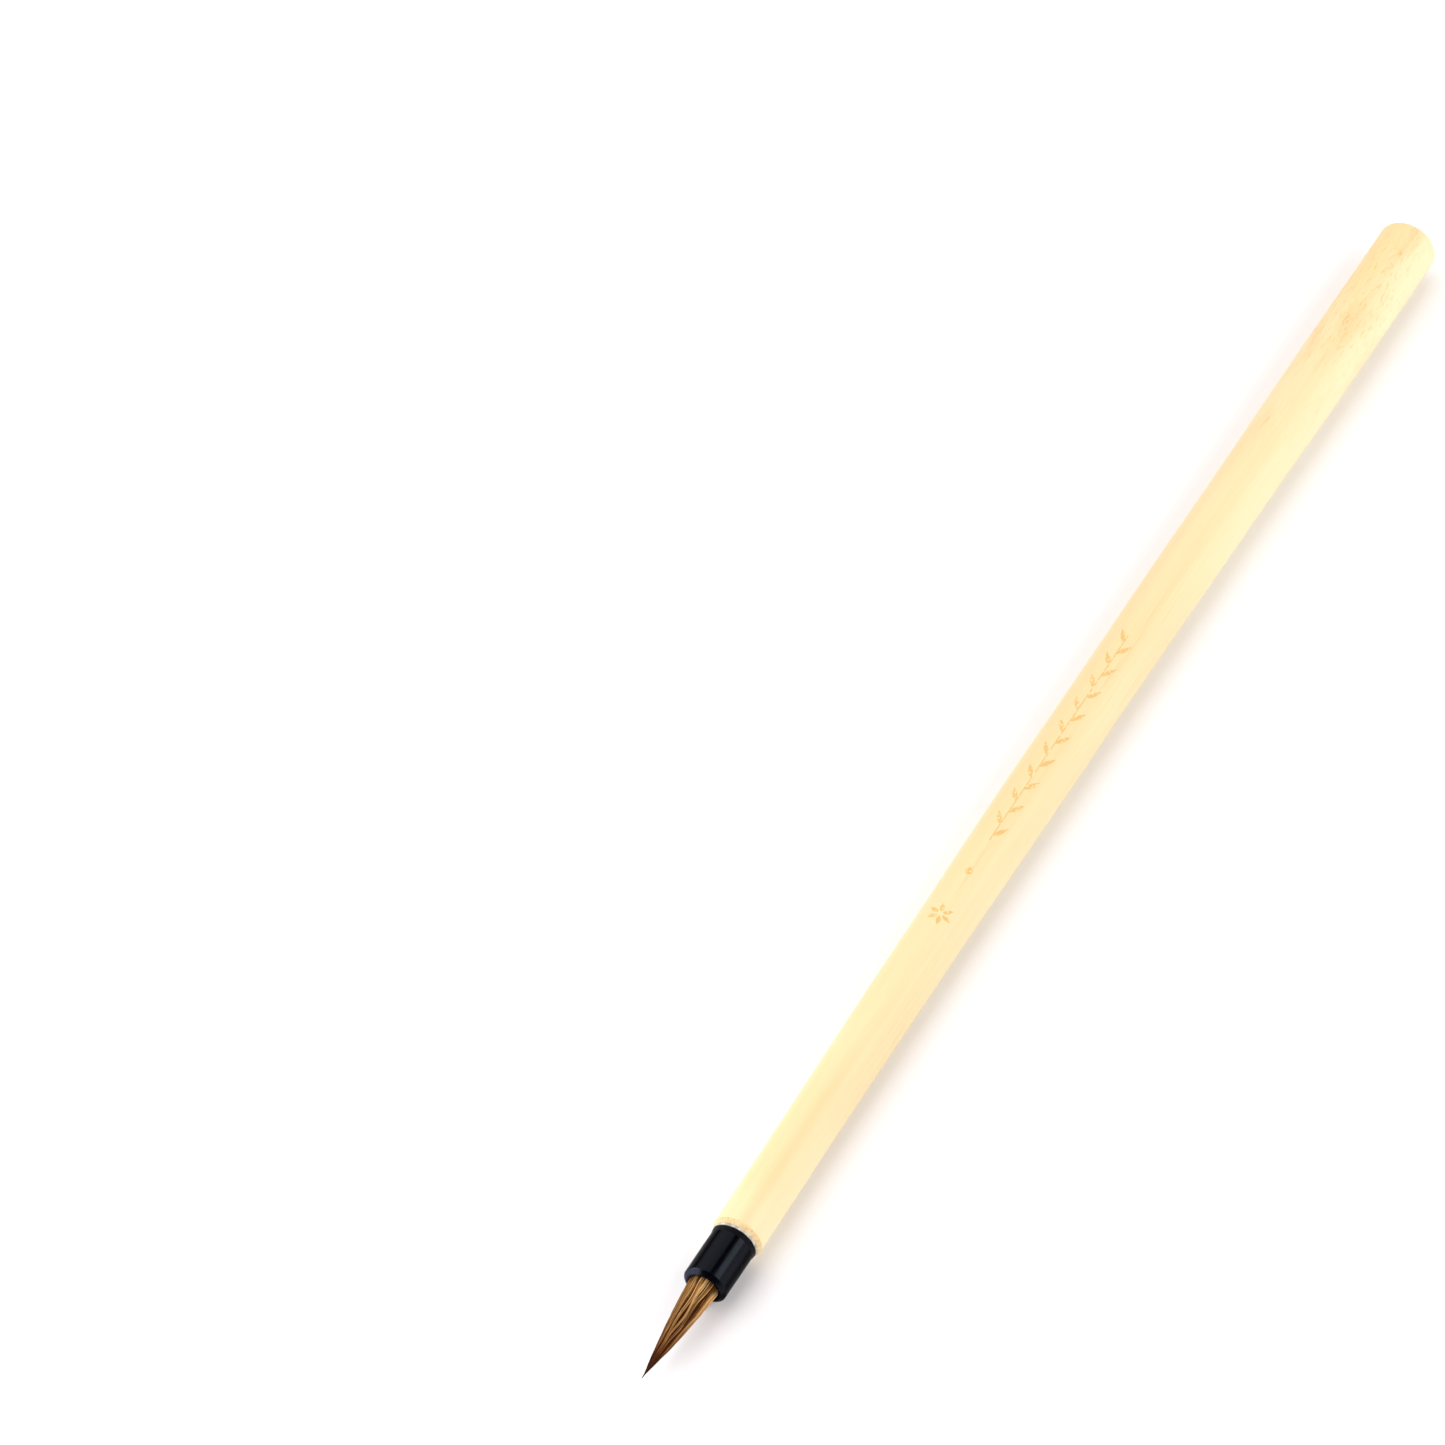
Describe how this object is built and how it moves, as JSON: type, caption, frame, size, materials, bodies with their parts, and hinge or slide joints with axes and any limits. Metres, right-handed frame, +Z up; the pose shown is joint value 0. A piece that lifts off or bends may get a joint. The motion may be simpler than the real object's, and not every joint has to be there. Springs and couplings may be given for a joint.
{
  "type": "calligraphy brush",
  "caption": "Slim bamboo brush for ink and watercolour: tapered cane handle, glossy black ferrule, and a short pointed tuft of brown hair that bends and springs back.",
  "frame": {"origin": "centre of the brush's footprint on the surface that it lies on", "axes": "+X leads from the butt to the point of the hair, +Z up from the surface, +Y to the left of +X"},
  "size_m": [0.232, 0.0092, 0.0091],
  "materials": {
    "bamboo": "satin",
    "ferrule_plastic": "gloss",
    "glue": "gloss",
    "resin": "gloss",
    "thread": "matte",
    "core_hair": "satin",
    "mantle_hair": "satin"
  },
  "bodies": {
    "handle": {"bamboo_handle": "bamboo", "ferrule": "ferrule_plastic", "ferrule_glue": "glue", "root_resin": "resin", "root_thread": "thread", "hair_glue": "glue", "core_root": "core_hair", "mantle_root": "mantle_hair"},
    "tuft_belly": {"core_belly": "core_hair", "mantle_belly": "mantle_hair"},
    "tuft_throat": {"core_throat": "core_hair", "mantle_throat": "mantle_hair"},
    "tuft_point": {"core_point": "core_hair"}
  },
  "joints": [
    {"name": "belly_bend", "type": "hinge", "parent": "handle", "child": "tuft_belly", "pos_m": [0.10131, 0, 0.0037], "axis": [0.0039, 0, 1], "range_deg": [-25, 25], "stiffness_Nm_per_rad": 0.001},
    {"name": "throat_bend", "type": "hinge", "parent": "tuft_belly", "child": "tuft_throat", "pos_m": [0.10591, 0, 0.00369], "axis": [0.0039, 0, 1], "range_deg": [-25, 25]},
    {"name": "point_bend", "type": "hinge", "parent": "tuft_throat", "child": "tuft_point", "pos_m": [0.11031, 0, 0.00367], "axis": [0.0039, 0, 1], "range_deg": [-30, 30]}
  ],
  "couplings": [
    {"joint": "throat_bend", "follows": "belly_bend", "ratio": 1},
    {"joint": "point_bend", "follows": "belly_bend", "ratio": 1.2}
  ]
}
